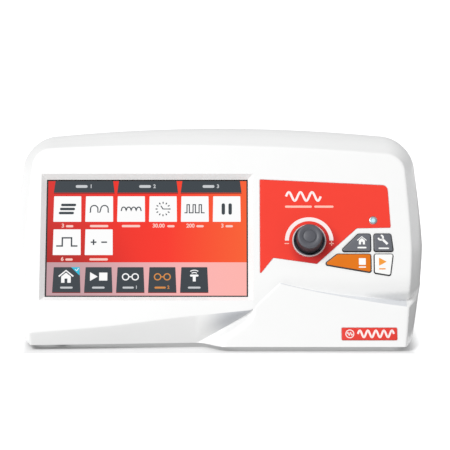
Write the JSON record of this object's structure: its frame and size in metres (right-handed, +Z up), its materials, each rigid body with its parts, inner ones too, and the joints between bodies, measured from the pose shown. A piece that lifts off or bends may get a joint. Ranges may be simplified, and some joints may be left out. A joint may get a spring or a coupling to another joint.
{
  "type": "ultrasound therapy console",
  "caption": "Bench-top ultrasound therapy console with a tilted face, colour touch display, control knob, keys and rear sockets.",
  "frame": {"origin": "centre of the console's bounding box, at the surface its feet stand on", "axes": "+X to the user's right along the face, +Y to the rear panel, +Z up"},
  "size_m": [0.3131, 0.1661, 0.152],
  "materials": {
    "white_casing": "fine satin moulded texture, faint grain",
    "white_key": "satin moulded plastic",
    "dark_grey_plastic": "satin moulded plastic, soft sheen",
    "grey_key": "satin moulded plastic",
    "orange_key": "satin moulded plastic",
    "black_plastic": "fine moulded texture",
    "red_label": "printed film, soft gloss",
    "red_badge": "domed printed badge",
    "display": "lit colour picture behind glass",
    "touch_glass": "clear, smooth",
    "lens": "clear light guide",
    "rubber": "matt black",
    "silicone": "translucent grey, matt",
    "circuit_board": "green solder mask",
    "steel": "zinc plated, lightly brushed",
    "panel_aluminium": "brushed and anodised",
    "copper": "enamelled copper winding"
  },
  "bodies": {
    "console": {"front_shell": "white_casing", "rear_shell": "white_casing", "base_plate": "white_casing", "knob_well": "dark_grey_plastic", "buzzer": "black_plastic", "power_capacitor": "black_plastic", "power_inlet": "black_plastic", "power_switch_frame": "black_plastic", "ultrasound_socket": "black_plastic", "channel_1_socket": "black_plastic", "channel_2_socket": "black_plastic", "key_switch_home": "black_plastic", "key_switch_settings": "black_plastic", "key_switch_stop": "black_plastic", "key_switch_start": "black_plastic", "control_label": "red_label", "badge": "red_badge", "display_module": "display", "touch_panel": "touch_glass", "indicator_lens": "lens", "indicator_led": "lens", "foot_1": "rubber", "foot_2": "rubber", "foot_3": "rubber", "foot_4": "rubber", "window_gasket": "rubber", "mains_wires": "rubber", "keypad_mat": "silicone", "main_board": "circuit_board", "key_board": "circuit_board", "power_supply_board": "circuit_board", "ultrasound_driver_board": "circuit_board", "stimulation_board": "circuit_board", "display_bracket": "steel", "encoder_body": "steel", "encoder_nut": "steel", "encoder_washer": "steel", "driver_shield": "steel", "base_screw_1": "steel", "base_screw_2": "steel", "base_screw_3": "steel", "base_screw_4": "steel", "rear_panel": "panel_aluminium", "indicator_ring": "panel_aluminium", "power_heatsink": "panel_aluminium", "power_transformer": "copper", "output_transformer_1": "copper", "output_transformer_2": "copper", "display_ribbon": "copper"},
    "knob": {"knob": "dark_grey_plastic", "encoder_shaft": "panel_aluminium"},
    "home_key": {"key_home": "grey_key"},
    "settings_key": {"key_settings": "grey_key"},
    "stop_key": {"key_stop": "orange_key"},
    "start_key": {"key_start": "white_key"},
    "rocker": {"power_rocker": "black_plastic"},
    "fuse_carrier": {"fuse_drawer": "black_plastic", "fuse": "touch_glass"}
  },
  "joints": [
    {"name": "knob_turn", "type": "hinge", "parent": "console", "child": "knob", "pos_m": [0.0686, -0.04683, 0.07815], "axis": [0, -0.8988, 0.4384], "continuous": true},
    {"name": "home_key_press", "type": "slide", "parent": "console", "child": "home_key", "axis": [0, 0.8988, -0.4384], "range_m": [0, 0.0008], "stiffness_N_per_m": 1500, "springref_m": -0.0004},
    {"name": "settings_key_press", "type": "slide", "parent": "console", "child": "settings_key", "axis": [0, 0.8988, -0.4384], "range_m": [0, 0.0008], "stiffness_N_per_m": 1500, "springref_m": -0.0004},
    {"name": "stop_key_press", "type": "slide", "parent": "console", "child": "stop_key", "axis": [0, 0.8988, -0.4384], "range_m": [0, 0.0008], "stiffness_N_per_m": 1500, "springref_m": -0.0004},
    {"name": "start_key_press", "type": "slide", "parent": "console", "child": "start_key", "axis": [0, 0.8988, -0.4384], "range_m": [0, 0.0008], "stiffness_N_per_m": 1500, "springref_m": -0.0004},
    {"name": "power_rocker_tilt", "type": "hinge", "parent": "console", "child": "rocker", "pos_m": [0.03, 0.0756, 0.05], "axis": [1, 0, 0], "range_deg": [0, 16]},
    {"name": "fuse_drawer_slide", "type": "slide", "parent": "console", "child": "fuse_carrier", "axis": [0, 1, 0], "range_m": [0, 0.018]}
  ]
}
